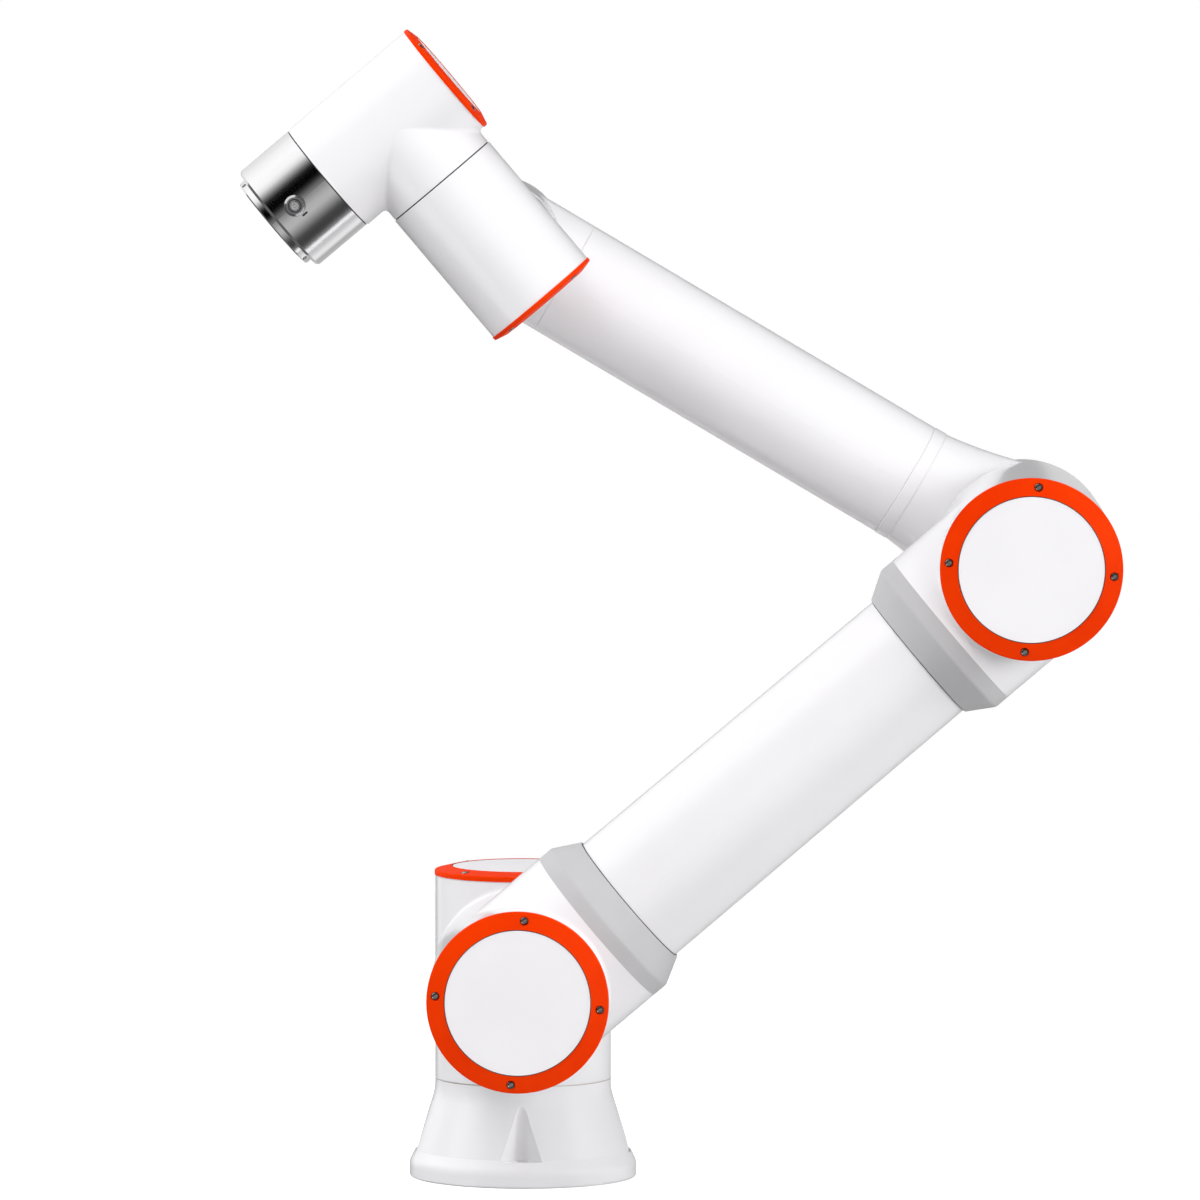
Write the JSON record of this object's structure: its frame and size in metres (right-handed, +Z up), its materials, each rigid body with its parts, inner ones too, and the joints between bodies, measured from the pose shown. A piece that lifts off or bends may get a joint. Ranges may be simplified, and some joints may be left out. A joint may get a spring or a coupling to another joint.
{
  "type": "industrial robot arm",
  "caption": "Six-axis articulated robot arm with round joint housings, coloured end rings, bevelled collars, a flared foot and a round tool flange.",
  "frame": {"origin": "centre of the foot's underside, on the mounting surface", "axes": "+Z up along the first joint axis, -Y towards the side with the shoulder and elbow caps, +X to the right seen from there"},
  "size_m": [0.538, 0.276, 0.7188],
  "materials": {
    "white_paint": "satin gloss",
    "white_cap": "satin",
    "orange_ring": "satin",
    "grey_collar": "satin",
    "dark_seal": "matte",
    "bare_metal": "turned and polished",
    "socket_metal": "satin nickel",
    "plug_metal": "satin nickel"
  },
  "bodies": {
    "base": {"base_casting": "white_paint", "cable_socket": "socket_metal"},
    "shoulder": {"shoulder_housing": "white_paint", "shoulder_seal": "dark_seal", "shoulder_ring": "orange_ring", "shoulder_cap": "white_cap"},
    "upper_arm": {"upper_arm_lower_housing": "white_paint", "upper_arm_lower_seal": "dark_seal", "upper_arm_lower_ring": "orange_ring", "upper_arm_lower_cap": "white_cap", "upper_arm_upper_housing": "white_paint", "upper_arm_upper_seal": "dark_seal", "upper_arm_upper_ring": "orange_ring", "upper_arm_upper_cap": "white_cap", "lower_collar": "grey_collar", "upper_collar": "grey_collar", "upper_arm_tube": "white_paint"},
    "forearm": {"forearm_wrist_housing": "white_paint", "forearm_wrist_seal": "dark_seal", "forearm_wrist_ring": "orange_ring", "forearm_wrist_cap": "white_cap", "forearm_elbow_housing": "white_paint", "forearm_band": "white_paint", "forearm_tube": "white_paint"},
    "wrist_1": {"wrist_1_housing": "white_paint", "wrist_1_seal": "dark_seal", "wrist_1_ring": "orange_ring", "wrist_1_cap": "white_cap"},
    "wrist_2": {"wrist_2_housing": "white_paint", "wrist_2_seal": "dark_seal", "wrist_2_ring": "orange_ring", "wrist_2_cap": "white_cap"},
    "tool_flange": {"flange_sleeve": "bare_metal", "flange_disc": "bare_metal", "tool_plug": "plug_metal"}
  },
  "joints": [
    {"name": "base_turn", "type": "hinge", "parent": "base", "child": "shoulder", "pos_m": [0, 0, 0.0619], "axis": [0, 0, 1], "range_deg": [-175, 175]},
    {"name": "shoulder_swing", "type": "hinge", "parent": "shoulder", "child": "upper_arm", "pos_m": [0, -0.1405, 0.1304], "axis": [0, -1, 0], "range_deg": [-125.4, 224.6]},
    {"name": "elbow_fold", "type": "hinge", "parent": "upper_arm", "child": "forearm", "pos_m": [0.31071, -0.1405, 0.39483], "axis": [0, 1, 0], "range_deg": [-45.9, 264.1]},
    {"name": "wrist_swing", "type": "hinge", "parent": "forearm", "child": "wrist_1", "pos_m": [-0.01499, -0.1175, 0.58668], "axis": [0, -1, 0], "range_deg": [-155.8, 194.2]},
    {"name": "wrist_turn", "type": "hinge", "parent": "wrist_1", "child": "wrist_2", "pos_m": [-0.01499, -0.1175, 0.58668], "axis": [0.6468, 0, -0.7627], "range_deg": [-85, 265]},
    {"name": "tool_turn", "type": "hinge", "parent": "wrist_2", "child": "tool_flange", "pos_m": [-0.0787, -0.1175, 0.66181], "axis": [-0.7627, 0, -0.6468], "range_deg": [-175, 175]}
  ]
}
